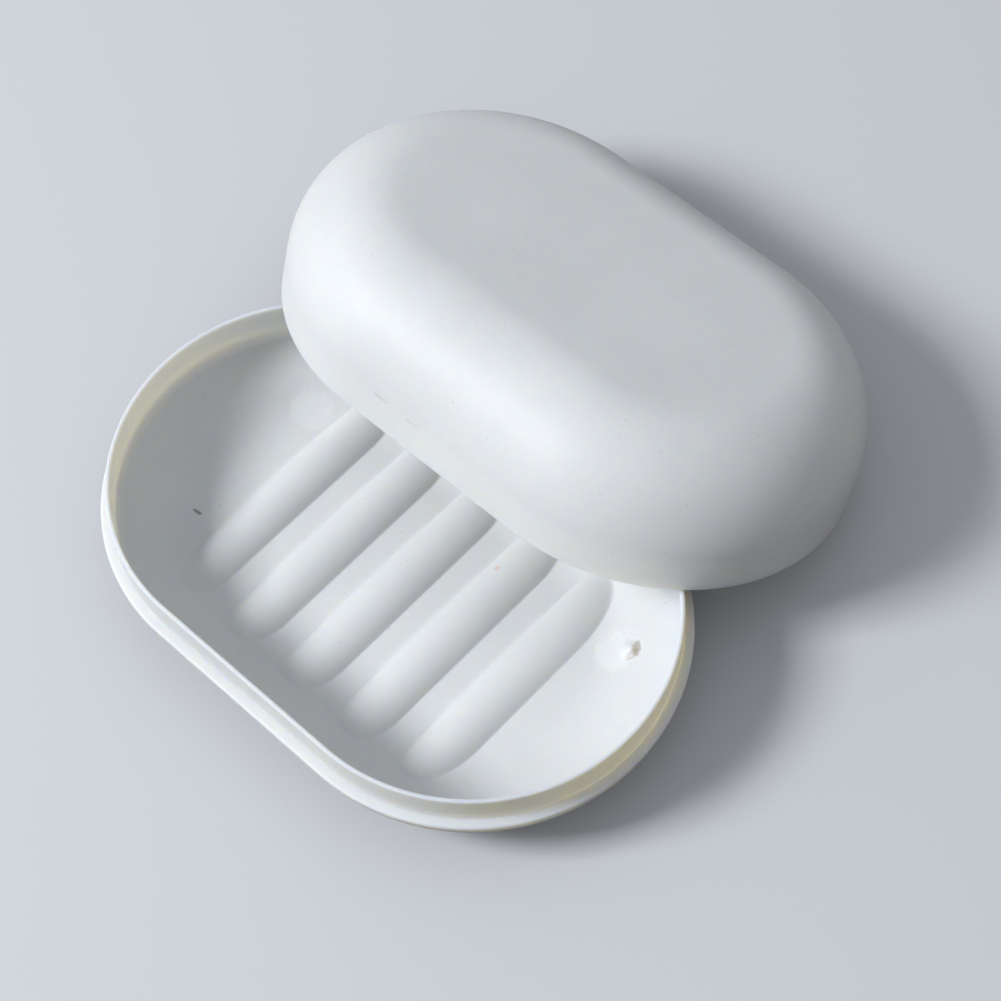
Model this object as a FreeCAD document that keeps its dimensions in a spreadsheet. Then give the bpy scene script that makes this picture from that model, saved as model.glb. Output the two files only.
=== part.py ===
import FreeCAD, Part
import math
import os
import Sketcher

# A travel soap box: an oblong dish with round ends and a domed lid.
# The lid is off the dish. It leans on the lip, with its far rim on the table.
# Millimetres. X runs along the dish, Y across it towards the lid, Z is up.
# The origin is the middle of the flat underside of the dish.

V = FreeCAD.Vector

# Driving dimensions: alias, value and what it measures.
SIZES = (
    ("straight_length", "39.2", "straight stretch between the two round ends"),
    ("overall_width", "76.0", "width over the shoulder and over the rim of the lid"),
    ("tray_height", "20.0", "table to the top of the lip"),
    ("lip_height", "6.7", "shoulder to the top of the lip"),
    ("lip_thickness", "0.8", "thin upright lip"),
    ("shoulder_width", "1.9", "ledge round the lip that the rim of the lid sits on"),
    ("tray_wall", "1.6", "floor and dished wall of the tray"),
    ("floor_width", "47.2", "between the lines where the sloping walls would meet the table"),
    ("floor_round", "18.2", "rounding between the floor and the sloping wall"),
    ("turn_radius", "7.5", "turn from the sloping wall up to the shoulder"),
    ("lip_bevel", "0.2", "broken edges of the lip"),
    ("shoulder_bevel", "0.4", "broken outer edge of the shoulder"),
    ("rib_count", "5", "raised ribs that keep the soap off the floor"),
    ("rib_pitch", "14.0", "from rib to rib"),
    ("rib_width", "9.0", "width of a rib at the floor"),
    ("rib_height", "2.5", "crown of a rib above the floor"),
    ("pin_mark_diameter", "8.6", "round marks that the ejector pins leave"),
    ("pin_mark_depth", "0.12", "how far a mark is sunk at its middle"),
    ("pin_mark_reach", "24.6", "from the middle of a round end out to a mark"),
    ("lid_height", "26.5", "rim to the flat top of the lid"),
    ("lid_wall", "2.0", "wall of the lid above its rim"),
    ("lid_round", "18.0", "rounding between the wall and the top of the lid"),
    ("rim_bevel", "0.3", "broken outer edge of the rim"),
    ("fit_clearance", "0.3", "gap round the lip when the box is shut"),
    ("lean_clearance", "0.2", "gap where the lid leans on the lip"),
    ("lid_reach", "12.6", "how far the near rim reaches in past the lip"),
    ("overrun", "4.0", "how far a cut runs out past the face it opens"),
)

# Two lengths are the same when they differ by less than this.
TOLERANCE = 1e-6

# Directions, in degrees: the way the lid slopes down, seen from above, its turn
# within its own rim plane, where a pin mark lies, and how much less than the
# dish the flat end of a pin is tilted.
LEAN_TURN = 2.5
LID_SPIN = -2.1
PIN_MARK_TURN = 41.2
PIN_LEVEL_TILT = 3.0


def fill_sheet(doc):
    """Put the driving dimensions in a sheet and give them back as numbers."""
    sheet = doc.addObject("Spreadsheet::Sheet", "Sizes")
    for row, (alias, value, note) in enumerate(SIZES, start=1):
        sheet.set(f"A{row}", alias)
        sheet.set(f"B{row}", value)
        sheet.set(f"C{row}", note)
        sheet.setAlias(f"B{row}", alias)
    doc.recompute()
    return {alias: float(sheet.get(alias)) for alias, _, _ in SIZES}


def origin_part(body, role):
    """Find an origin plane or axis of this body by its role."""
    return next(f for f in body.Origin.OriginFeatures if f.Role == role)


def new_sketch(body, name, role):
    """Start a sketch on one of the body's own origin planes."""
    sketch = body.newObject("Sketcher::SketchObject", name)
    sketch.AttachmentSupport = [(origin_part(body, role), "")]
    sketch.MapMode = "FlatFace"
    return sketch


def limit(sketch, name, kind, *rest, expression):
    """Add one dimension to a sketch and tie it to the sheet."""
    index = sketch.addConstraint(Sketcher.Constraint(kind, *rest))
    sketch.renameConstraint(index, name)
    sketch.setExpression(f"Constraints.{name}", expression)


def polyline(points):
    """Straight edges through the points, in order."""
    return [Part.LineSegment(V(*a), V(*b)) for a, b in zip(points, points[1:])]


def arc(centre, radius, start, end):
    """A counterclockwise arc between two angles in degrees."""
    circle = Part.Circle(V(*centre), V(0, 0, 1), radius)
    return Part.ArcOfCircle(circle, math.radians(start), math.radians(end))


def join(sketch, kind, pairs):
    """Join edge ends, each given as (edge, end), corner to corner or tangent."""
    for (first, end), (second, start) in pairs:
        sketch.addConstraint(Sketcher.Constraint(kind, first, end, second, start))


def level(sketch, kind, edges):
    """Make these edges horizontal or vertical."""
    for edge in edges:
        sketch.addConstraint(Sketcher.Constraint(kind, edge))


def dish_section(size, wall):
    """Corner points and arc centres of half the dish, moved inward by a wall.

    The floor is level and the wall slopes straight up from it. One arc rounds the
    corner between them, and another turns the slope up to the shoulder.
    """
    corner = size["floor_width"] / 2
    turn = size["turn_radius"]
    floor = size["floor_round"]
    turn_centre = (size["overall_width"] / 2 - turn, size["tray_height"] - size["lip_height"])
    across = turn_centre[0] - corner
    distance = math.hypot(across, turn_centre[1])
    slope = math.atan2(turn_centre[1], across) - math.asin(turn / distance)
    floor_centre = (corner - floor * math.tan(slope / 2), floor)
    out = (math.sin(slope), -math.cos(slope))
    floor_end = tuple(c + (floor - wall) * o for c, o in zip(floor_centre, out))
    slope_end = tuple(c + (turn - wall) * o for c, o in zip(turn_centre, out))
    return slope, floor_centre, floor_end, slope_end, turn_centre


def dish_at(size, reach):
    """Height and slope, in degrees, of the inside of the dish this far out."""
    slope, floor_centre, floor_end, _, _ = dish_section(size, size["tray_wall"])
    if reach > floor_end[0]:
        return floor_end[1] + (reach - floor_end[0]) * math.tan(slope), math.degrees(slope)
    radius = size["floor_round"] - size["tray_wall"]
    here = math.asin(max(reach - floor_centre[0], 0) / radius)
    return floor_centre[1] - radius * math.cos(here), math.degrees(here)


def place_turn(sketch, edge, centre):
    """Fix the middle of the turn, which is level with the shoulder."""
    limit(sketch, "turn_across", "DistanceX", -1, 1, edge, 3, centre[0],
          expression="Sizes.overall_width / 2 - Sizes.turn_radius")
    limit(sketch, "turn_level", "DistanceY", -1, 1, edge, 3, centre[1],
          expression="Sizes.tray_height - Sizes.lip_height")


def place_corner(sketch, edge, size, wall=0):
    """Keep the slope a wall away from the corner where the outer slope meets the table."""
    corner = sketch.addGeometry(Part.Point(V(size["floor_width"] / 2, 0, 0)), True)
    sketch.addConstraint(Sketcher.Constraint("PointOnObject", corner, 1, -1))
    limit(sketch, "corner", "DistanceX", -1, 1, corner, 1, size["floor_width"] / 2,
          expression="Sizes.floor_width / 2")
    if wall:
        limit(sketch, "wall", "Distance", corner, 1, edge, wall, expression="Sizes.tray_wall")
    else:
        sketch.addConstraint(Sketcher.Constraint("PointOnObject", corner, 1, edge))


def tray_outline(body, size):
    """Half of the outer section of the tray, from its middle to the lip."""
    half = size["overall_width"] / 2
    top = size["tray_height"]
    ledge = top - size["lip_height"]
    lip = half - size["shoulder_width"]
    bevel = size["shoulder_bevel"]
    turn = size["turn_radius"]
    slope, floor_centre, floor_end, slope_end, turn_centre = dish_section(size, 0)
    start = math.degrees(slope) - 90
    rise = math.degrees(math.asin(bevel / turn))
    side = (turn_centre[0] + math.sqrt(turn**2 - bevel**2), ledge - bevel, 0)
    sketch = new_sketch(body, "tray_outline", "YZ_Plane")
    sketch.setExpression("AttachmentOffset.Base.z", "Sizes.straight_length / 2")
    sketch.addGeometry(Part.LineSegment(V(0, 0, 0), V(floor_centre[0], 0, 0)))
    sketch.addGeometry(arc((*floor_centre, 0), size["floor_round"], -90, start))
    sketch.addGeometry(Part.LineSegment(V(*floor_end, 0), V(*slope_end, 0)))
    sketch.addGeometry(arc((*turn_centre, 0), turn, start, -rise))
    path = [side, (half - bevel, ledge, 0), (lip, ledge, 0), (lip, top, 0), (0, top, 0)]
    sketch.addGeometry(polyline(path + [(0, 0, 0)]))
    join(sketch, "Tangent", [((0, 2), (1, 1)), ((1, 2), (2, 1)), ((2, 2), (3, 1))])
    join(sketch, "Coincident", [((3, 2), (4, 1)), ((4, 2), (5, 1)), ((5, 2), (6, 1))])
    join(sketch, "Coincident", [((6, 2), (7, 1)), ((7, 2), (8, 1)), ((8, 2), (0, 1))])
    join(sketch, "Coincident", [((0, 1), (-1, 1))])
    level(sketch, "Horizontal", (0, 5, 7))
    level(sketch, "Vertical", (6, 8))
    limit(sketch, "floor", "Radius", 1, size["floor_round"], expression="Sizes.floor_round")
    limit(sketch, "turn", "Radius", 3, turn, expression="Sizes.turn_radius")
    place_turn(sketch, 3, turn_centre)
    place_corner(sketch, 2, size)
    limit(sketch, "side", "DistanceY", -1, 1, 3, 2, ledge - bevel,
          expression="Sizes.tray_height - Sizes.lip_height - Sizes.shoulder_bevel")
    limit(sketch, "bevel", "DistanceX", -1, 1, 4, 2, half - bevel,
          expression="Sizes.overall_width / 2 - Sizes.shoulder_bevel")
    limit(sketch, "ledge", "DistanceY", -1, 1, 4, 2, ledge,
          expression="Sizes.tray_height - Sizes.lip_height")
    limit(sketch, "lip", "DistanceX", -1, 1, 5, 2, lip,
          expression="Sizes.overall_width / 2 - Sizes.shoulder_width")
    limit(sketch, "top", "DistanceY", -1, 1, 6, 2, top, expression="Sizes.tray_height")
    return sketch


def cavity_outline(body, size):
    """Half of the section of the hollow: inner face of the lip, crease, dish."""
    half = size["overall_width"] / 2
    wall = size["tray_wall"]
    inner = half - size["shoulder_width"] - size["lip_thickness"]
    top = size["tray_height"] + size["overrun"]
    slope, floor_centre, floor_end, slope_end, turn_centre = dish_section(size, wall)
    start = math.degrees(slope) - 90
    floor = size["floor_round"] - wall
    turn = size["turn_radius"] - wall
    crease = math.degrees(math.acos((inner - turn_centre[0]) / turn))
    crease_level = turn_centre[1] - turn * math.sin(math.radians(crease))
    sketch = new_sketch(body, "cavity_outline", "YZ_Plane")
    sketch.setExpression("AttachmentOffset.Base.z", "Sizes.straight_length / 2")
    sketch.addGeometry(Part.LineSegment(V(0, wall, 0), V(floor_centre[0], wall, 0)))
    sketch.addGeometry(arc((*floor_centre, 0), floor, -90, start))
    sketch.addGeometry(Part.LineSegment(V(*floor_end, 0), V(*slope_end, 0)))
    sketch.addGeometry(arc((*turn_centre, 0), turn, start, -crease))
    path = [(inner, crease_level, 0), (inner, top, 0), (0, top, 0), (0, wall, 0)]
    sketch.addGeometry(polyline(path))
    join(sketch, "Tangent", [((0, 2), (1, 1)), ((1, 2), (2, 1)), ((2, 2), (3, 1))])
    join(sketch, "Coincident", [((3, 2), (4, 1)), ((4, 2), (5, 1))])
    join(sketch, "Coincident", [((5, 2), (6, 1)), ((6, 2), (0, 1))])
    level(sketch, "Horizontal", (0, 5))
    level(sketch, "Vertical", (4, 6))
    sketch.addConstraint(Sketcher.Constraint("PointOnObject", 0, 1, -2))
    limit(sketch, "level", "DistanceY", -1, 1, 0, 1, wall, expression="Sizes.tray_wall")
    limit(sketch, "floor", "Radius", 1, floor, expression="Sizes.floor_round - Sizes.tray_wall")
    limit(sketch, "turn", "Radius", 3, turn, expression="Sizes.turn_radius - Sizes.tray_wall")
    place_turn(sketch, 3, turn_centre)
    place_corner(sketch, 2, size, wall)
    limit(sketch, "inner", "DistanceX", -1, 1, 4, 2, inner,
          expression="Sizes.overall_width / 2 - Sizes.shoulder_width - Sizes.lip_thickness")
    limit(sketch, "top", "DistanceY", -1, 1, 4, 2, top,
          expression="Sizes.tray_height + Sizes.overrun")
    return sketch


def lid_outline(body, size):
    """Half of the section of the lid, with the step inside its rim."""
    half = size["overall_width"] / 2
    top = size["lid_height"]
    bend = size["lid_round"]
    wall = size["lid_wall"]
    rim = half - size["shoulder_width"] + size["fit_clearance"]
    step = size["lip_height"] + size["fit_clearance"]
    inner = half - wall
    sketch = new_sketch(body, "lid_outline", "YZ_Plane")
    sketch.setExpression("AttachmentOffset.Base.z", "Sizes.straight_length / 2")
    sketch.addGeometry(Part.LineSegment(V(0, top, 0), V(half - bend, top, 0)))
    sketch.addGeometry(arc((half - bend, top - bend, 0), bend, 0, 90))
    path = [(half, top - bend, 0), (half, 0, 0), (rim, 0, 0), (rim, step, 0), (inner, step, 0)]
    sketch.addGeometry(polyline(path + [(inner, top - bend, 0)]))
    sketch.addGeometry(arc((half - bend, top - bend, 0), bend - wall, 0, 90))
    sketch.addGeometry(polyline([(half - bend, top - wall, 0), (0, top - wall, 0), (0, top, 0)]))
    join(sketch, "Tangent", [((0, 2), (1, 2)), ((1, 1), (2, 1)), ((6, 2), (7, 1)), ((7, 2), (8, 1))])
    join(sketch, "Coincident", [((2, 2), (3, 1)), ((3, 2), (4, 1)), ((4, 2), (5, 1))])
    join(sketch, "Coincident", [((5, 2), (6, 1)), ((8, 2), (9, 1)), ((9, 2), (0, 1))])
    join(sketch, "Coincident", [((1, 3), (7, 3))])
    level(sketch, "Horizontal", (0, 3, 5, 8))
    level(sketch, "Vertical", (2, 4, 6, 9))
    sketch.addConstraint(Sketcher.Constraint("PointOnObject", 0, 1, -2))
    sketch.addConstraint(Sketcher.Constraint("PointOnObject", 2, 2, -1))
    limit(sketch, "top", "DistanceY", -1, 1, 0, 1, top, expression="Sizes.lid_height")
    limit(sketch, "half", "DistanceX", -1, 1, 2, 2, half, expression="Sizes.overall_width / 2")
    limit(sketch, "bend", "Radius", 1, bend, expression="Sizes.lid_round")
    limit(sketch, "rim", "DistanceX", -1, 1, 3, 2, rim,
          expression="Sizes.overall_width / 2 - Sizes.shoulder_width + Sizes.fit_clearance")
    limit(sketch, "step", "DistanceY", -1, 1, 4, 2, step,
          expression="Sizes.lip_height + Sizes.fit_clearance")
    limit(sketch, "inner", "DistanceX", -1, 1, 5, 2, inner,
          expression="Sizes.overall_width / 2 - Sizes.lid_wall")
    return sketch


def oblong(doc, body, outline):
    """Run half a section along the straight sides and round both ends."""
    side = body.newObject("PartDesign::Pad", body.Name + "_side")
    side.Profile = outline
    side.Reversed = True
    side.setExpression("Length", "Sizes.straight_length")
    end = body.newObject("PartDesign::Revolution", body.Name + "_end")
    end.Profile = outline
    end.ReferenceAxis = (outline, ["V_Axis"])
    end.Angle = 180
    end.Reversed = True
    doc.recompute()
    for feature, role in ((end, "YZ_Plane"), (side, "XZ_Plane")):
        mirrored = body.newObject("PartDesign::Mirrored", feature.Name + "_mirrored")
        mirrored.Originals = [feature]
        mirrored.MirrorPlane = (origin_part(body, role), [""])
        body.Tip = mirrored
        doc.recompute()


def rib_row(doc, body, name, size, wall, skin):
    """Cut a row of round channels across the body, one for each rib."""
    rise = size["rib_height"]
    radius = ((size["rib_width"] / 2) ** 2 + rise**2) / (2 * rise)
    first = -size["rib_pitch"] * (size["rib_count"] - 1) / 2
    middle = size["tray_wall"] + rise - radius
    arc_radius = "((Sizes.rib_width / 2)^2 + Sizes.rib_height^2) / (2 * Sizes.rib_height)"
    sketch = new_sketch(body, name + "_section", "XZ_Plane")
    sketch.addGeometry(Part.Circle(V(first, middle, 0), V(0, 0, 1), radius - wall))
    limit(sketch, "radius", "Radius", 0, radius - wall, expression=arc_radius + skin)
    limit(sketch, "first", "DistanceX", -1, 1, 0, 3, first,
          expression="-Sizes.rib_pitch * (Sizes.rib_count - 1) / 2")
    limit(sketch, "level", "DistanceY", -1, 1, 0, 3, middle,
          expression=f"Sizes.tray_wall + Sizes.rib_height - {arc_radius}")
    channel = body.newObject("PartDesign::Pocket", name)
    channel.Profile = sketch
    channel.SideType = "Symmetric"
    channel.setExpression("Length", "Sizes.overall_width")
    doc.recompute()
    row = body.newObject("PartDesign::LinearPattern", name + "_row")
    row.Originals = [channel]
    row.Direction = (origin_part(body, "X_Axis"), [""])
    row.setExpression("Length", "Sizes.rib_pitch * (Sizes.rib_count - 1)")
    row.setExpression("Occurrences", "Sizes.rib_count")
    body.Tip = row
    doc.recompute()


def pin_marks(doc, body, size):
    """Let the flat ends of four ejector pins sink a little into the dish."""
    reach = size["pin_mark_reach"]
    turn = math.radians(PIN_MARK_TURN)
    height, slope = dish_at(size, reach)
    upright = V(0, 0, 1)
    for name, along, across in (("a", -1, 1), ("b", -1, -1), ("c", 1, 1), ("d", 1, -1)):
        outward = V(along * math.cos(turn), across * math.sin(turn), 0)
        rotation = FreeCAD.Rotation(upright.cross(outward), PIN_LEVEL_TILT - slope)
        middle = V(along * size["straight_length"] / 2, 0, height) + outward * reach
        foot = middle - rotation.multVec(upright) * size["pin_mark_depth"]
        mark = body.newObject("PartDesign::AdditiveCylinder", "pin_mark_" + name)
        mark.AttachmentSupport = [(origin_part(body, "XY_Plane"), "")]
        mark.MapMode = "FlatFace"
        mark.AttachmentOffset = FreeCAD.Placement(foot, rotation)
        mark.setExpression("Radius", "Sizes.pin_mark_diameter / 2")
        mark.setExpression("Height", "Sizes.tray_wall")
        doc.recompute()


def break_edges(doc, body, name, chosen, expression):
    """Bevel the edges of the newest feature that the test picks."""
    base = body.Tip
    names = [f"Edge{i}" for i, edge in enumerate(base.Shape.Edges, start=1) if chosen(edge)]
    bevel = body.newObject("PartDesign::Chamfer", name)
    bevel.Base = (base, names)
    bevel.setExpression("Size", expression)
    doc.recompute()


def at_level(height):
    """A test for edges that lie flat at this height."""
    def test(edge):
        box = edge.BoundBox
        return max(abs(box.ZMin - height), abs(box.ZMax - height)) < TOLERANCE
    return test


def at_reach(height, reach, size):
    """A test for edges at this height and this far out from the middle line."""
    flat = at_level(height)

    def test(edge):
        ends = [vertex.Point for vertex in edge.Vertexes]
        past = [max(abs(p.x) - size["straight_length"] / 2, 0) for p in ends]
        out = [math.hypot(x, p.y) for x, p in zip(past, ends)]
        return flat(edge) and all(abs(value - reach) < TOLERANCE for value in out)
    return test


def make_cavity(doc, size):
    """The hollow of the tray as a solid, with the ribs taken out of it."""
    body = doc.addObject("PartDesign::Body", "cavity")
    body.Label = "tray_cavity"
    oblong(doc, body, cavity_outline(body, size))
    rib_row(doc, body, "rib", size, 0, "")
    pin_marks(doc, body, size)
    return body


def make_tray(doc, size, cavity):
    """The tray: shell with lip and shoulder, ribs hollow from beneath."""
    body = doc.addObject("PartDesign::Body", "tray")
    body.Label = "soap_tray"
    oblong(doc, body, tray_outline(body, size))
    hollow = body.newObject("PartDesign::Boolean", "tray_hollow")
    hollow.Type = "Cut"
    hollow.setObjects([cavity])
    body.Tip = hollow
    doc.recompute()
    rib_row(doc, body, "groove", size, size["tray_wall"], " - Sizes.tray_wall")
    break_edges(doc, body, "lip_edges", at_level(size["tray_height"]), "Sizes.lip_bevel")
    return body


def make_lid(doc, size):
    """The domed lid, drawn with its rim on its own XY plane."""
    body = doc.addObject("PartDesign::Body", "cover")
    body.Label = "lid"
    oblong(doc, body, lid_outline(body, size))
    rim = at_reach(0, size["overall_width"] / 2, size)
    break_edges(doc, body, "rim_edge", rim, "Sizes.rim_bevel")
    return body


def leaning(size):
    """Where the lid lies: two points of its rim on the lip, the far rim on the table."""
    upright = V(0, 0, 1)
    rim = size["overall_width"] / 2
    lip = rim - size["shoulder_width"]
    rim_inside = lip + size["fit_clearance"]
    end = size["straight_length"] / 2
    turn = FreeCAD.Rotation(upright, LEAN_TURN)
    spin = math.radians(LID_SPIN)

    # The line through both points of contact, from the middle of each piece.
    from_lid = rim - size["lid_reach"]
    from_tray = math.sqrt(from_lid**2 + lip**2 - rim_inside**2)
    height = size["tray_height"] + size["lean_clearance"]
    low = rim + end * abs(math.sin(spin))
    slope = math.degrees(math.asin(height / (from_lid + low)))

    # Both pieces are turned a little, so their ends lie unevenly along that line.
    tray_side = end * math.sin(math.radians(LEAN_TURN))
    lid_side = end * math.sin(spin)
    tray_middle = (math.sqrt(lip**2 - (from_tray + tray_side) ** 2)
                   - math.sqrt(lip**2 - (from_tray - tray_side) ** 2)) / 2
    lid_middle = (math.sqrt(rim_inside**2 - (from_lid + lid_side) ** 2)
                  - math.sqrt(rim_inside**2 - (from_lid - lid_side) ** 2)) / 2

    tilt = FreeCAD.Rotation(V(1, 0, 0), -slope)
    downhill = turn.multVec(tilt.multVec(V(0, 1, 0)))
    contact = turn.multVec(V(tray_middle - lid_middle, from_tray, 0)) + upright * height
    rotation = turn.multiply(tilt).multiply(FreeCAD.Rotation(upright, LID_SPIN))
    return FreeCAD.Placement(contact + downhill * from_lid, rotation)


def check(doc, bodies):
    """Stop before anything is written if a feature failed or a shape is not sound."""
    failed = [o.Name for o in doc.Objects if "Invalid" in o.State or "Error" in o.State]
    unsound = [b.Label for b in bodies if b.Shape.isNull() or not b.Shape.isValid()]
    if failed or unsound:
        raise RuntimeError(f"failed features {failed}, unsound bodies {unsound}")


document = FreeCAD.newDocument("soap_box")
sizes = fill_sheet(document)
tray_body = make_tray(document, sizes, make_cavity(document, sizes))
lid_body = make_lid(document, sizes)
lid_body.Placement = leaning(sizes)
document.recompute()
check(document, [tray_body, lid_body])

os.makedirs("parts", exist_ok=True)
for piece in (tray_body, lid_body):
    piece.Shape.exportStep(f"parts/{piece.Label}.step")
    print(piece.Label, "volume", round(piece.Shape.Volume, 1), "box", piece.Shape.BoundBox)
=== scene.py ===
import math

import bmesh
import bpy
from mathutils import Matrix, Vector


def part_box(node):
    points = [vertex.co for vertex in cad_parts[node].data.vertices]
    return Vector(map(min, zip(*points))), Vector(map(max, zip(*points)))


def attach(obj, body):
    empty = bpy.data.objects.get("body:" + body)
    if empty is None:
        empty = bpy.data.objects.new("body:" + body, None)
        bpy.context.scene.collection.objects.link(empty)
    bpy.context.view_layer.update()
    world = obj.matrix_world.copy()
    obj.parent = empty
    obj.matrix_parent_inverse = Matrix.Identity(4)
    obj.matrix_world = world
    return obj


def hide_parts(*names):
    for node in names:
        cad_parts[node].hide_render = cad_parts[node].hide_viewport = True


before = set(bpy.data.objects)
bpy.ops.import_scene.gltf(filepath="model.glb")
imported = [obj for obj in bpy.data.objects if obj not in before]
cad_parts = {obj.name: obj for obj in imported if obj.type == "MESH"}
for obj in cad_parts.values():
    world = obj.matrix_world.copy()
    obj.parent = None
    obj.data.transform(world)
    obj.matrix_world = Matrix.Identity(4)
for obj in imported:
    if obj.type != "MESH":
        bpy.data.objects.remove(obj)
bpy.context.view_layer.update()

# A travel soap box of white plastic: the dish with its upright lip and five
# ribs, and the domed lid that leans on it. Lengths are named in millimetres
# and become metres where they go into Blender.

mm = 0.001
tray_low, tray_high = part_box("soap_tray")
tray_size = (tray_high - tray_low) / mm

# The tray, as the frame has it.
TRAY_LENGTH = round(tray_size.x, 1)
TRAY_WIDTH = round(tray_size.y, 1)
TRAY_HEIGHT = round(tray_size.z, 1)
HALF_STRAIGHT = (TRAY_LENGTH - TRAY_WIDTH) / 2
HALF_WIDTH = TRAY_WIDTH / 2

# The section of the tray.
LIP_HEIGHT = 6.7
LIP_THICKNESS = 0.8
SHOULDER_WIDTH = 1.9
TRAY_WALL = 1.6
FLOOR_WIDTH = 47.2
FLOOR_ROUND = 18.2
TURN_RADIUS = 7.5
SHOULDER = TRAY_HEIGHT - LIP_HEIGHT
LIP_OUTER = HALF_WIDTH - SHOULDER_WIDTH
LIP_INNER = LIP_OUTER - LIP_THICKNESS
TURN_CENTRE = (HALF_WIDTH - TURN_RADIUS, SHOULDER)

# Ribs, with the hollows under them.
RIB_COUNT = 5
RIB_PITCH = 14.0
RIB_WIDTH = 9.0
RIB_HEIGHT = 2.5
RIB_RADIUS = ((RIB_WIDTH / 2) ** 2 + RIB_HEIGHT**2) / (2 * RIB_HEIGHT)
RIB_CENTRE = TRAY_WALL + RIB_HEIGHT - RIB_RADIUS

# Marks of the ejector pins, and the stub of the cut sprue beside one of them.
PIN_DIAMETER = 8.6
PIN_DEPTH = 0.07
PIN_EDGE = 0.8
PIN_REACH = 24.6
PIN_TURN = math.radians(41.2)
STUB_PLACE = (39.9, 17.4)
STUB_RADIUS = 2.0
STUB_HEIGHT = 0.9
STUB_CUT = 0.9
STUB_SLOPE = 1.0

# The lid.
LID_HEIGHT = 26.5
LID_WALL = 2.0
LID_ROUND = 18.0
FIT_CLEARANCE = 0.3
LEAN_CLEARANCE = 0.2
LID_REACH = 12.6
LEAN_TURN = math.radians(2.5)
LID_SPIN = math.radians(-2.1)

# Small roundings that the moulds leave, and the faint line round the lid.
SOFT_LIP = 0.3
SOFT_SHOULDER = 0.45
SOFT_CREASE = 1.4
SOFT_CORNER = 0.25
SOFT_RIM = 0.45
SOFT_STEP = 0.18
RIB_FOOT = 0.25
RIB_FOOT_MORE = 1.25
RIB_SOFT_HALF = 9.0
GROOVE_EDGE = 0.3
WITNESS_DEPTH = 0.02
WITNESS_WIDTH = 0.5

# Fineness of the meshes: lengths and angles of a step, and numbers of steps.
ARC_STEP = math.radians(12)
ARC_LENGTH = 1.2
FINE = 0.45
COARSE = 1.6
END_STEPS = 64
SIDE_STEPS = 16
FLAT_STEPS = 5
WALL_STEPS = 6
TURN_STEPS = 10
SLOPE_STEPS = 3

# Lines from a rib's crown to the hollow's edge, over it, over the foot, and in the gap.
RIB_STEPS = (5, 4, 6, 4)

# Where the meshes have their lines. The floor's plan ends at a reach from the spine, and
# its end columns bend by a share of the angle there. The turn starts at an angle in
# radians, the lip's levels are shares of its height, and the rim's are heights.
PLAN_EDGE = 31.0
PLAN_BEND = 0.6
WALL_END = LIP_INNER - 0.4
TURN_START = 0.09
LIP_LEVELS_INSIDE = (0.15, 0.4, 0.7, 0.9)
LIP_LEVELS_OUTSIDE = (0.85, 0.5, 0.15)
RIM_LEVELS = (1.0, 3.5)
STEP_MARGIN = 0.6
MERGE_DISTANCE = 1e-4

# Colours of the plastic, of what is on it, and of a painted shadow.
PLASTIC_PALE = (0.750, 0.750, 0.732, 1)
PLASTIC_DEEP = (0.720, 0.721, 0.702, 1)
SCRATCH = (0.50, 0.51, 0.52, 1)
DUST = (0.30, 0.28, 0.25, 1)
STROKE = (0.14, 0.12, 0.09, 1)
ORANGE = (0.72, 0.42, 0.22, 1)
# Painted shadow: the tan shade beside the sprue stub, on its side away from the lamp.
STUB_SHADOW_TAN = (0.36, 0.30, 0.19, 1)
PIN_PALE = (0.86, 0.86, 0.85, 1)
SCUFF = (0.30, 0.31, 0.33, 1)

# How deep light goes into the plastic, red furthest. It goes deeper towards the tray's
# lip, from a reach outwards, and towards the lid's rim, from a height downwards.
THICK_DEPTH = 0.5
TRAY_THIN_DEPTH = 3.6
TRAY_THIN_FROM = 26.5
LID_THIN_DEPTH = 4.0
LID_THIN_FROM = LIP_HEIGHT + 3
DEPTH_OF_COLOURS = (1.0, 0.78, 0.38)

# Patterns in the plastic: scales in waves per metre, then from where to where in the
# pattern each one fades in, and how strong it is.
CLOUD_SCALE = 45
WEAR_SCALE = 70
SCRATCH_SCALE = (45, 1600, 300)
SCRATCH_TURNS = (25, -50)
SPECK_SCALE = 330
GRAIN_SCALE = 1900
RIPPLE_SCALE = 420
RAGGED_SCALE = 1500
MIDDLE_SPAN = (0.3, 0.7)
WEAR_SPAN = (0.5, 0.62)
SCRATCH_SPAN = (0.66, 0.70)
SPECK_SPAN = (0.085, 0.05)
SPECK_PICK = (0.55, 0.6)
SPOT_SPAN = (1.55, 1.25)
SCRATCH_STRENGTH = 0.05
SPECK_STRENGTH = 0.22
ROUGHNESS = (0.48, 0.58)
BUMP_STRENGTH = 0.25
BUMP_HEIGHT = 0.012
PLASTIC_IOR = 1.46

# Stains and a painted shadow: middle, size, turn in degrees, colour and strength. On the tray
# they are a dark stroke, an orange fleck, painted tan shadow in two parts on the stub's side
# away from the lamp, and two pale pin marks.
TRAY_STAINS_AND_SHADOW = (
    ((-37.5, -13.5, 2.1), (1.0, 0.36, 0.8), 12, STROKE, 0.65),
    ((11.5, 14.0, 3.5), (0.7, 0.5, 0.6), 30, ORANGE, 0.4),
    # Two patches of painted tan shadow beside the sprue stub, on its side away from the lamp.
    ((40.9, 18.2, 5.1), (0.9, 1.6, 1.5), 35, STUB_SHADOW_TAN, 0.55),
    ((41.0, 16.8, 4.5), (0.8, 1.7, 1.4), -15, STUB_SHADOW_TAN, 0.5),
    ((-37.0, 15.5, 2.9), (4.3, 4.3, 4.3), 0, PIN_PALE, 0.35),
    ((38.0, 15.8, 2.9), (4.3, 4.3, 4.3), 0, PIN_PALE, 0.35),
)
LID_STAINS = (
    ((-12.2, -38.0, 7.0), (1.9, 0.6, 0.32), 0, SCUFF, 0.25),
    ((-4.7, -38.0, 6.75), (1.8, 0.6, 0.3), 0, SCUFF, 0.18),
)

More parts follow.
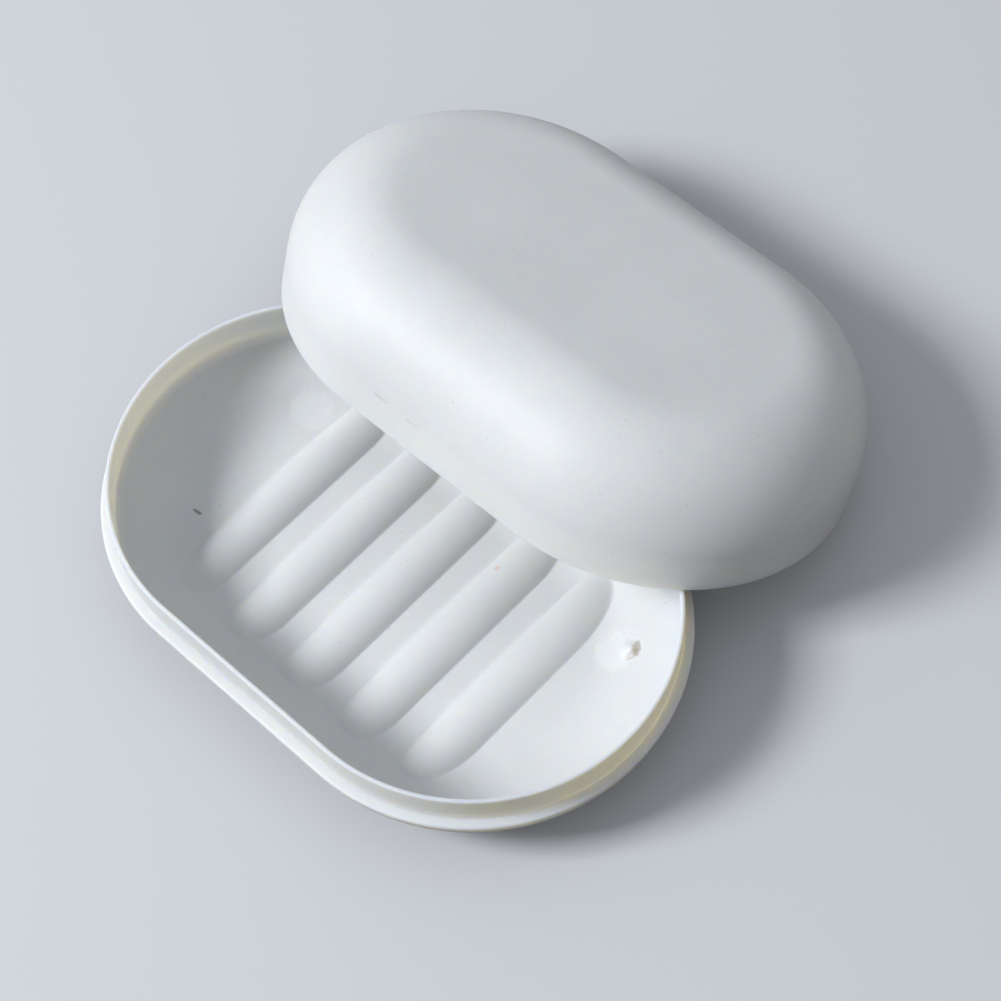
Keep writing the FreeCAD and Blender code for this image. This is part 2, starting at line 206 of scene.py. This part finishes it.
# Camera: where it looks, from which side, how high, its roll, distance and lens.
LOOK_AT = Vector((1.72, 25.48, 1.26)) * mm
CAMERA_TURN = math.radians(45.782)
CAMERA_HEIGHT = math.radians(60.655)
CAMERA_ROLL = math.radians(-3.414)
CAMERA_DISTANCE = 452.2 * mm
LENS = 89.06
SENSOR_WIDTH = 36

# The lamp: from which side it shines, how high, how far and how large in metres, its
# power in watts. Then the light from all sides, and the floor with its size in metres.
LAMP_TURN = math.radians(233)
LAMP_HEIGHT = math.radians(41)
LAMP_DISTANCE = 1.5
LAMP_SIZE = 0.42
LAMP_POWER = 21
LAMP_COLOUR = (0.897, 0.935, 1)
SKY_STRENGTH = 0.45
SKY_LOW = (0.61, 0.57, 0.54, 1)
SKY_HIGH = (1.03, 1.12, 1.26, 1)
FLOOR_SIZE = 3.0
FLOOR_LEVEL = -0.02 * mm
FLOOR_ROUGHNESS = 0.9
FLOOR_SEEN = (0.62, 0.62, 0.62, 1)
FLOOR_LIT = (0.09, 0.09, 0.09, 1)


# Sections and surfaces

def slope_angle():
    """Slope of the straight part of the dish, tangent to the turn below the shoulder."""
    across = TURN_CENTRE[0] - FLOOR_WIDTH / 2
    distance = math.hypot(across, TURN_CENTRE[1])
    return math.atan2(TURN_CENTRE[1], across) - math.asin(TURN_RADIUS / distance)


SLOPE = slope_angle()
CREASE = TURN_CENTRE[1] - math.sqrt((TURN_RADIUS - TRAY_WALL) ** 2
                                    - (LIP_INNER - TURN_CENTRE[0]) ** 2)
FLOOR_CENTRE = (FLOOR_WIDTH / 2 - FLOOR_ROUND * math.tan(SLOPE / 2), FLOOR_ROUND)


def dish_height(reach, wall):
    """Height of the dish this far from its spine, a wall in from its outside."""
    floor = FLOOR_ROUND - wall
    turn = TURN_RADIUS - wall
    floor_end = FLOOR_CENTRE[0] + floor * math.sin(SLOPE)
    slope_end = TURN_CENTRE[0] + turn * math.sin(SLOPE)
    if reach <= FLOOR_CENTRE[0]:
        return wall
    if reach <= floor_end:
        return FLOOR_CENTRE[1] - math.sqrt(floor**2 - (reach - FLOOR_CENTRE[0]) ** 2)
    if reach <= slope_end:
        rise = FLOOR_CENTRE[1] - floor * math.cos(SLOPE)
        return rise + (reach - floor_end) * math.tan(SLOPE)
    return TURN_CENTRE[1] - math.sqrt(turn**2 - (reach - TURN_CENTRE[0]) ** 2)


def blend_up(first, second, soft):
    """The higher of two heights, with the corner between them rounded."""
    near = max(soft - abs(first - second), 0) / soft
    return max(first, second) + near**2 * soft / 4


def ease(value):
    """0 to 1 with soft ends."""
    value = min(max(value, 0), 1)
    return value * value * (3 - 2 * value)


def reach_of(x, y):
    """Distance from the spine, the line between the middles of the round ends."""
    return math.hypot(max(abs(x) - HALF_STRAIGHT, 0), y)


def rib_height(x, radius):
    """Height of the nearest round channel across the tray, or None beside it."""
    nearest = round(x / RIB_PITCH)
    nearest = min(max(nearest, -(RIB_COUNT // 2)), RIB_COUNT // 2)
    off = abs(x - nearest * RIB_PITCH)
    if off >= radius:
        return None
    return RIB_CENTRE + math.sqrt(radius**2 - off**2)


def pin_mark(x, y):
    """How deep the round end of an ejector pin sank into the dish here."""
    along = abs(x) - HALF_STRAIGHT - PIN_REACH * math.cos(PIN_TURN)
    across = abs(y) - PIN_REACH * math.sin(PIN_TURN)
    away = math.hypot(along, across)
    return PIN_DEPTH * ease((PIN_DIAMETER / 2 - away) / PIN_EDGE + 0.5)


def sprue_stub(x, y):
    """Height of the low stub where the sprue was cut off, steeper on its outer side."""
    right, back = x - STUB_PLACE[0], y - STUB_PLACE[1]
    height = STUB_HEIGHT * ease(1 - math.hypot(right, back) / STUB_RADIUS)
    return height * ease((STUB_CUT - right - back / 2) / STUB_SLOPE + 1)


def tray_top(x, y):
    """Upper surface of the tray inside the lip.

    The left foot of each rib is softer in the middle than at its ends.
    """
    height = dish_height(reach_of(x, y), TRAY_WALL) - pin_mark(x, y) + sprue_stub(x, y)
    rib = rib_height(x, RIB_RADIUS)
    if rib is None:
        return height
    foot = RIB_FOOT
    if x < RIB_PITCH * round(x / RIB_PITCH):
        foot += RIB_FOOT_MORE * ease(2 - abs(y) / RIB_SOFT_HALF)
    return blend_up(height, rib, foot)


def tray_bottom(x, y):
    """Underside of the tray, with a hollow under each rib."""
    height = dish_height(reach_of(x, y), 0)
    hollow = rib_height(x, RIB_RADIUS - TRAY_WALL)
    return height if hollow is None else blend_up(height, hollow, GROOVE_EDGE)


def tray_light_depth(point):
    """Light goes deeper into the tray towards its thin lip."""
    reach = reach_of(point.x, point.y)
    thin = ease((reach - TRAY_THIN_FROM) / (LIP_INNER - TRAY_THIN_FROM))
    return (THICK_DEPTH + (TRAY_THIN_DEPTH - THICK_DEPTH) * thin) * mm


def lid_light_depth(point):
    """Light goes deeper into the lid towards its thin rim."""
    thin = ease(1 - point.z / LID_THIN_FROM)
    return (THICK_DEPTH + (LID_THIN_DEPTH - THICK_DEPTH) * thin) * mm


def rounded(corners):
    """A path through (x, z, radius) corners, with an arc at each one that has a radius."""
    path = []
    for index, (x, z, radius) in enumerate(corners):
        here = Vector((x, z))
        if not radius:
            path.append(here)
            continue
        before = (Vector(corners[index - 1][:2]) - here).normalized()
        after = (Vector(corners[index + 1][:2]) - here).normalized()
        opening = before.angle(after)
        middle = here + (before + after).normalized() * (radius / math.sin(opening / 2))
        start = here + before * (radius / math.tan(opening / 2)) - middle
        end = here + after * (radius / math.tan(opening / 2)) - middle
        turn = math.copysign(math.pi - opening, start.x * end.y - start.y * end.x)
        steps = max(round(abs(turn) / ARC_STEP), round(abs(turn) * radius / ARC_LENGTH), 3)
        for step in range(steps + 1):
            path.append(middle + Matrix.Rotation(turn * step / steps, 2) @ start)
    return path


def spread(start, stop, steps):
    """Values from start up to but not including stop."""
    return [start + (stop - start) * step / steps for step in range(steps)]


# Meshes

def rib_lines():
    """Lines along the ribs, close together at their feet and at the hollows' edges."""
    foot = RIB_WIDTH / 2
    edge = math.sqrt((RIB_RADIUS - TRAY_WALL) ** 2 - RIB_CENTRE**2)
    stops = (0, edge - GROOVE_EDGE, edge + GROOVE_EDGE, foot + GROOVE_EDGE, RIB_PITCH / 2)
    half = []
    for start, stop, steps in zip(stops, stops[1:], RIB_STEPS):
        half += spread(start, stop, steps)
    lines = []
    for rib in range(-(RIB_COUNT // 2), RIB_COUNT // 2 + 1):
        lines += [rib * RIB_PITCH - off for off in reversed(half[1:])]
        lines += [rib * RIB_PITCH + off for off in half]
        lines.append((rib + 0.5) * RIB_PITCH)
    return [-(RIB_COUNT / 2) * RIB_PITCH] + lines


def end_columns(rows, last, start, reach):
    """Columns from the last straight one, at x = start, to an arc in the round end.

    Between the two, their tops follow the edge of the plan and their points go evenly
    from the one column to the other.
    """
    corner = math.acos((start - HALF_STRAIGHT) / reach)
    bend = corner * PLAN_BEND
    arc = [(HALF_STRAIGHT + reach * math.cos(row * bend), reach * math.sin(row * bend))
           for row in rows]
    last_top, arc_top = last[-1], arc[-1]
    steps = round((HALF_STRAIGHT + reach - start) / FINE)
    columns = []
    for step in range(1, steps + 1):
        along = step / steps
        angle = corner + (bend - corner) * along
        top = (HALF_STRAIGHT + reach * math.cos(angle), reach * math.sin(angle))
        points = []
        for row, near, far in zip(rows, last, arc):
            x = near[0] * (1 - along) + far[0] * along + top[0]
            x -= last_top[0] * (1 - along) + arc_top[0] * along
            y = near[1] * (1 - along) + far[1] * along + row * top[1]
            y -= row * (last_top[1] * (1 - along) + arc_top[1] * along)
            points.append((x, y))
        columns.append(points)
    return columns


def floor_plan():
    """Points over the floor out to the plan's edge, in columns that follow the ribs."""
    lines = rib_lines()
    inner = (PIN_REACH * math.sin(PIN_TURN) - PIN_DIAMETER / 2 - FINE) / PLAN_EDGE
    coarse = round(inner * PLAN_EDGE / COARSE)
    fine = round((1 - inner) * PLAN_EDGE / FINE)
    half = spread(0, inner, coarse) + spread(inner, 1, fine) + [1]
    rows = [-value for value in reversed(half[1:])] + half

    def column(x):
        width = math.sqrt(PLAN_EDGE**2 - max(abs(x) - HALF_STRAIGHT, 0) ** 2)
        return [(x, row * width) for row in rows]

    straight = [column(x) for x in lines]
    right_end = end_columns(rows, straight[-1], lines[-1], PLAN_EDGE)
    left_end = [[(-x, y) for x, y in points] for points in reversed(right_end)]
    return left_end + straight + right_end


def border(plan):
    """The outermost points of the plan, once round."""
    loop = [points[0] for points in plan]
    loop += plan[-1][1:]
    loop += [points[-1] for points in reversed(plan[:-1])]
    return loop + plan[0][-2:0:-1]


def outward(x, y):
    """Nearest point of the spine, and the direction out from it."""
    foot = min(max(x, -HALF_STRAIGHT), HALF_STRAIGHT)
    direction = Vector((x - foot, y)).normalized()
    return Vector((foot, 0)), direction


def oblong_loop():
    """Feet on the spine and directions once round an oblong."""
    loop = []
    for end, start in ((HALF_STRAIGHT, -math.pi / 2), (-HALF_STRAIGHT, math.pi / 2)):
        for step in range(END_STEPS):
            angle = start + math.pi * step / END_STEPS
            loop.append((Vector((end, 0)), Vector((math.cos(angle), math.sin(angle)))))
        side = Vector((0, math.copysign(1, end)))
        loop += [(Vector((x, 0)), side) for x in spread(end, -end, SIDE_STEPS)]
    return loop


def ring(loop, reach, height):
    """The oblong that lies this far from its spine, at this height."""
    return [(*(foot + direction * reach), height) for foot, direction in loop]


def mesh_object(name, sheets, rings, place, light_depth):
    """One closed mesh from open grids of points and from rings, all in millimetres.

    The mesh is then moved to its place. It keeps where each point was before, and
    how deep light goes into the plastic there.
    """
    bm = bmesh.new()

    def add(columns, closed):
        grid = [[bm.verts.new(Vector(point) * mm) for point in column] for column in columns]
        for first, second in zip(grid, grid[1:]):
            corners = list(zip(first, second))
            following = corners[1:] + corners[:1] if closed else corners[1:]
            for (a, b), (d, c) in zip(corners, following):
                bm.faces.new((a, b, c, d))

    for sheet in sheets:
        add(sheet, False)
    add(rings, True)
    bmesh.ops.remove_doubles(bm, verts=bm.verts, dist=MERGE_DISTANCE * mm)
    bmesh.ops.recalc_face_normals(bm, faces=bm.faces)
    mesh = bpy.data.meshes.new(name)
    bm.to_mesh(mesh)
    bm.free()
    own = mesh.attributes.new("own_place", "FLOAT_VECTOR", "POINT")
    own.data.foreach_set("vector", [value for vertex in mesh.vertices for value in vertex.co])
    depth = mesh.attributes.new("light_depth", "FLOAT", "POINT")
    depth.data.foreach_set("value", [light_depth(vertex.co / mm) for vertex in mesh.vertices])
    mesh.transform(place)
    mesh.shade_smooth()
    piece = bpy.data.objects.new(name, mesh)
    bpy.context.scene.collection.objects.link(piece)
    return piece


def make_tray():
    """The tray: floor with ribs and marks, dish, lip, shoulder, outside and underside."""
    plan = floor_plan()
    loop = [outward(x, y) for x, y in border(plan)]
    top = [[(x, y, tray_top(x, y)) for x, y in points] for points in plan]
    bottom = [[(x, y, tray_bottom(x, y)) for x, y in points] for points in plan]

    inside = spread(PLAN_EDGE, WALL_END, WALL_STEPS) + [WALL_END]
    corners = [(reach, dish_height(reach, TRAY_WALL), 0) for reach in inside]
    corners += [(LIP_INNER, CREASE, SOFT_CREASE)]
    corners += [(LIP_INNER, CREASE + (TRAY_HEIGHT - CREASE) * share, 0)
                for share in LIP_LEVELS_INSIDE]
    corners += [(LIP_INNER, TRAY_HEIGHT, SOFT_LIP), (LIP_OUTER, TRAY_HEIGHT, SOFT_LIP)]
    corners += [(LIP_OUTER, SHOULDER + LIP_HEIGHT * share, 0) for share in LIP_LEVELS_OUTSIDE]
    corners += [(LIP_OUTER, SHOULDER, SOFT_CORNER), (HALF_WIDTH, SHOULDER, SOFT_SHOULDER)]

    low = TURN_CENTRE[0] + TURN_RADIUS * math.sin(SLOPE)
    turn_end = math.acos((low - TURN_CENTRE[0]) / TURN_RADIUS)
    for step in range(1, TURN_STEPS + 1):
        angle = TURN_START + (turn_end - TURN_START) * step / TURN_STEPS
        corners.append((TURN_CENTRE[0] + TURN_RADIUS * math.cos(angle),
                        TURN_CENTRE[1] - TURN_RADIUS * math.sin(angle), 0))
    outside = spread(PLAN_EDGE, low, SLOPE_STEPS)
    corners += [(reach, dish_height(reach, 0), 0) for reach in reversed(outside)]
    rings = [ring(loop, reach, height) for reach, height in rounded(corners)]
    return mesh_object("tray_moulding", [top, bottom], rings, Matrix(), tray_light_depth)


def make_lid():
    """The lid, with its rim on its own XY plane."""
    rim = LIP_OUTER + FIT_CLEARANCE
    step = LIP_HEIGHT + FIT_CLEARANCE
    inner = HALF_WIDTH - LID_WALL
    flat = spread(0, HALF_WIDTH - LID_ROUND, FLAT_STEPS)
    corners = [(reach, LID_HEIGHT, 0) for reach in flat]
    corners += [(HALF_WIDTH, LID_HEIGHT, LID_ROUND)]
    corners += [(HALF_WIDTH, step + WITNESS_WIDTH, 0)]
    corners += [(HALF_WIDTH - WITNESS_DEPTH, step + WITNESS_WIDTH / 2, 0)]
    corners += [(HALF_WIDTH, height, 0) for height in (step, *reversed(RIM_LEVELS))]
    corners += [(HALF_WIDTH, 0, SOFT_RIM), (rim, 0, SOFT_CORNER)]
    corners += [(rim, height, 0) for height in (*RIM_LEVELS, step - STEP_MARGIN)]
    corners += [(rim, step, SOFT_STEP), (inner, step, SOFT_STEP)]
    corners += [(inner, step + STEP_MARGIN, 0)]
    corners += [(inner, LID_HEIGHT - LID_WALL, LID_ROUND - LID_WALL)]
    corners += [(reach, LID_HEIGHT - LID_WALL, 0) for reach in reversed(flat)]
    loop = oblong_loop()
    rings = [ring(loop, reach, height) for reach, height in rounded(corners)]
    return mesh_object("lid_moulding", [], rings, leaning(), lid_light_depth)


def leaning():
    """Where the lid lies: two points of its rim on the lip, the far rim on the table."""
    rim_inside = LIP_OUTER + FIT_CLEARANCE
    from_lid = HALF_WIDTH - LID_REACH
    from_tray = math.sqrt(from_lid**2 + LIP_OUTER**2 - rim_inside**2)
    height = TRAY_HEIGHT + LEAN_CLEARANCE
    low = HALF_WIDTH + HALF_STRAIGHT * abs(math.sin(LID_SPIN))
    slope = math.asin(height / (from_lid + low))
    tray_side = HALF_STRAIGHT * math.sin(LEAN_TURN)
    lid_side = HALF_STRAIGHT * math.sin(LID_SPIN)
    tray_middle = (math.sqrt(LIP_OUTER**2 - (from_tray + tray_side) ** 2)
                   - math.sqrt(LIP_OUTER**2 - (from_tray - tray_side) ** 2)) / 2
    lid_middle = (math.sqrt(rim_inside**2 - (from_lid + lid_side) ** 2)
                  - math.sqrt(rim_inside**2 - (from_lid - lid_side) ** 2)) / 2
    turn = Matrix.Rotation(LEAN_TURN, 4, "Z")
    tilt = turn @ Matrix.Rotation(-slope, 4, "X")
    contact = turn @ Vector((tray_middle - lid_middle, from_tray, 0)) + Vector((0, 0, height))
    place = contact + tilt @ Vector((0, from_lid, 0))
    return Matrix.Translation(place * mm) @ tilt @ Matrix.Rotation(LID_SPIN, 4, "Z")


# Camera, light and floor

def add_camera():
    """Put the camera at the photograph's viewing angle."""
    across = math.cos(CAMERA_HEIGHT)
    back = Vector((math.sin(CAMERA_TURN) * across, -math.cos(CAMERA_TURN) * across,
                   math.sin(CAMERA_HEIGHT)))
    right = Vector((0, 0, 1)).cross(back).normalized()
    up = back.cross(right)
    turn = Matrix.Rotation(CAMERA_ROLL, 3, back)
    right, up = turn @ right, turn @ up
    data = bpy.data.cameras.new("camera")
    data.sensor_width = SENSOR_WIDTH
    data.lens = LENS
    camera = bpy.data.objects.new("camera", data)
    camera.matrix_world = Matrix((right, up, back)).transposed().to_4x4()
    camera.location = LOOK_AT + back * CAMERA_DISTANCE
    bpy.context.scene.collection.objects.link(camera)
    bpy.context.scene.camera = camera


def add_lamp():
    """A soft square lamp that shines at the object."""
    data = bpy.data.lights.new("key", "AREA")
    data.size = LAMP_SIZE
    data.energy = LAMP_POWER
    data.color = LAMP_COLOUR
    lamp = bpy.data.objects.new("key", data)
    across = math.cos(LAMP_HEIGHT)
    back = Vector((math.cos(LAMP_TURN) * across, math.sin(LAMP_TURN) * across,
                   math.sin(LAMP_HEIGHT)))
    lamp.location = LOOK_AT + back * LAMP_DISTANCE
    lamp.rotation_euler = back.to_track_quat("Z", "Y").to_euler()
    bpy.context.scene.collection.objects.link(lamp)


def light_world(world):
    """Soft light from all sides, weaker and a little warmer from low down than from above."""
    tree = world.node_tree
    background = tree.nodes["Background"]
    background.inputs["Strength"].default_value = SKY_STRENGTH
    direction = tree.nodes.new("ShaderNodeTexCoord")
    upward = tree.nodes.new("ShaderNodeSeparateXYZ")
    tint = tree.nodes.new("ShaderNodeMix")
    tint.data_type = "RGBA"
    tint.inputs["A"].default_value = SKY_LOW
    tint.inputs["B"].default_value = SKY_HIGH
    tree.links.new(direction.outputs["Generated"], upward.inputs["Vector"])
    tree.links.new(upward.outputs["Z"], tint.inputs["Factor"])
    tree.links.new(tint.outputs["Result"], background.inputs["Color"])


def add_floor():
    """A plain floor under the object.

    It looks pale to the camera and in reflections, and is dark to all other light, so
    that little of it comes back up to the object.
    """
    mesh = bpy.data.meshes.new("floor")
    sides = ((-1, -1), (1, -1), (1, 1), (-1, 1))
    corners = [(x * FLOOR_SIZE, y * FLOOR_SIZE, FLOOR_LEVEL) for x, y in sides]
    mesh.from_pydata(corners, [], [(0, 1, 2, 3)])
    floor = bpy.data.objects.new("floor", mesh)
    material = bpy.data.materials.new("floor")
    material.use_nodes = True
    nodes, links = material.node_tree.nodes, material.node_tree.links
    shader = nodes["Principled BSDF"]
    shader.inputs["Roughness"].default_value = FLOOR_ROUGHNESS
    rays = nodes.new("ShaderNodeLightPath")
    seen = rays.outputs["Is Camera Ray"]
    for kind in ("Is Glossy Ray", "Is Transmission Ray"):
        either = nodes.new("ShaderNodeMath")
        either.operation = "MAXIMUM"
        links.new(seen, either.inputs[0])
        links.new(rays.outputs[kind], either.inputs[1])
        seen = either.outputs[0]
    tone = nodes.new("ShaderNodeMix")
    tone.data_type = "RGBA"
    tone.inputs["A"].default_value = FLOOR_LIT
    tone.inputs["B"].default_value = FLOOR_SEEN
    links.new(seen, tone.inputs["Factor"])
    links.new(tone.outputs["Result"], shader.inputs["Base Color"])
    mesh.materials.append(material)
    bpy.context.scene.collection.objects.link(floor)


# Materials

class Shading:
    """A material with short ways to add nodes to it."""

    def __init__(self, name):
        self.material = bpy.data.materials.new(name)
        self.material.use_nodes = True
        self.tree = self.material.node_tree
        self.surface = self.tree.nodes["Principled BSDF"]

    def put(self, socket, value):
        """Link a node's output to a socket, or set a plain value on it."""
        if isinstance(value, bpy.types.NodeSocket):
            self.tree.links.new(value, socket)
        else:
            socket.default_value = value

    def add(self, kind, output, inputs, **settings):
        """Add a node and give back one of its outputs."""
        node = self.tree.nodes.new("ShaderNode" + kind)
        for name, value in settings.items():
            setattr(node, name, value)
        for name, value in inputs.items():
            self.put(node.inputs[name], value)
        return node.outputs[output]

    def noise(self, place, scale, detail):
        """A soft random pattern from 0 to 1."""
        return self.add("TexNoise", "Fac", {"Vector": place, "Scale": scale, "Detail": detail})

    def span(self, value, low, high, start=0, stop=1):
        """Run softly from start to stop while the value goes from low to high."""
        sockets = {"Value": value, "From Min": low, "From Max": high}
        sockets.update({"To Min": start, "To Max": stop})
        return self.add("MapRange", "Result", sockets, interpolation_type="SMOOTHSTEP")

    def join(self, operation, first, second):
        """Two numbers added, multiplied or compared."""
        return self.add("Math", 0, {0: first, 1: second}, operation=operation)

    def mix(self, factor, first, second):
        """A colour between two others."""
        sockets = {"Factor": factor, "A": first, "B": second}
        return self.add("Mix", "Result", sockets, data_type="RGBA")

    def spot(self, place, centre, size, turn):
        """A ragged patch: 1 inside an ellipsoid of this size in millimetres, 0 outside."""
        sockets = {"Vector": place, "Location": [value * mm for value in centre],
                   "Rotation": (0, 0, math.radians(turn)),
                   "Scale": [value * mm for value in size]}
        inside = self.add("Mapping", "Vector", sockets, vector_type="TEXTURE")
        away = self.add("VectorMath", "Value", {0: inside}, operation="LENGTH")
        ragged = self.noise(place, RAGGED_SCALE, 2)
        return self.span(self.join("ADD", away, ragged), *SPOT_SPAN)


def scratches(shading, place):
    """Fine hairline scratches in two directions, only in some places."""
    worn = shading.span(shading.noise(place, WEAR_SCALE, 2), *WEAR_SPAN)
    lines = []
    for turn in SCRATCH_TURNS:
        sockets = {"Vector": place, "Rotation": (0, 0, math.radians(turn)),
                   "Scale": SCRATCH_SCALE}
        along = shading.add("Mapping", "Vector", sockets)
        lines.append(shading.span(shading.noise(along, 1, 1), *SCRATCH_SPAN))
    return shading.join("MULTIPLY", shading.join("MAXIMUM", *lines), worn)


def specks(shading, place):
    """Small dust specks, one in some of the cells of a pattern."""
    sockets = {"Vector": place, "Scale": SPECK_SCALE}
    away = shading.add("TexVoronoi", "Distance", sockets)
    pick = shading.add("TexVoronoi", "Color", sockets)
    return shading.join("MULTIPLY", shading.span(away, *SPECK_SPAN),
                        shading.span(pick, *SPECK_PICK))


def plastic(name, stains_and_shadow):
    """White moulded plastic: light comes through where it is thin.

    Stains, and on the tray a painted shadow, are small patches: middle, size, turn in degrees,
    colour and strength.
    """
    shading = Shading(name)
    place = shading.add("Attribute", "Vector", {}, attribute_name="own_place")
    cloud = shading.span(shading.noise(place, CLOUD_SCALE, 3), *MIDDLE_SPAN)
    colour = shading.mix(cloud, PLASTIC_DEEP, PLASTIC_PALE)
    layers = [(scratches(shading, place), SCRATCH_STRENGTH, SCRATCH)]
    layers += [(specks(shading, place), SPECK_STRENGTH, DUST)]
    # Among the tray's patches is a painted tan shadow beside the sprue stub.
    for centre, size, turn, patch_colour, strength in stains_and_shadow:
        layers += [(shading.spot(place, centre, size, turn), strength, patch_colour)]
    for pattern, strength, over in layers:
        colour = shading.mix(shading.join("MULTIPLY", pattern, strength), colour, over)

    grain = shading.noise(place, GRAIN_SCALE, 2)
    ripple = shading.noise(place, RIPPLE_SCALE, 2)
    sockets = {"Height": shading.join("ADD", grain, ripple), "Strength": BUMP_STRENGTH,
               "Distance": BUMP_HEIGHT * mm}
    surface = shading.surface.inputs
    shading.put(surface["Base Color"], colour)
    shading.put(surface["Roughness"], shading.span(grain, *MIDDLE_SPAN, *ROUGHNESS))
    shading.put(surface["Normal"], shading.add("Bump", "Normal", sockets))
    depth = shading.add("Attribute", "Fac", {}, attribute_name="light_depth")
    shading.put(surface["Subsurface Scale"], depth)
    surface["Subsurface Weight"].default_value = 1
    surface["Subsurface Radius"].default_value = DEPTH_OF_COLOURS
    surface["IOR"].default_value = PLASTIC_IOR
    return shading.material


scene = bpy.context.scene
scene.view_settings.view_transform = "Standard"
world = bpy.data.worlds.new("world")
world.use_nodes = True
light_world(world)
scene.world = world

add_camera()
add_floor()
add_lamp()

tray = make_tray()
tray.data.materials.append(plastic("tray_plastic", TRAY_STAINS_AND_SHADOW))
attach(tray, "tray")
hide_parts("soap_tray")

lid = make_lid()
lid.data.materials.append(plastic("lid_plastic", LID_STAINS))
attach(lid, "lid")
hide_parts("lid")
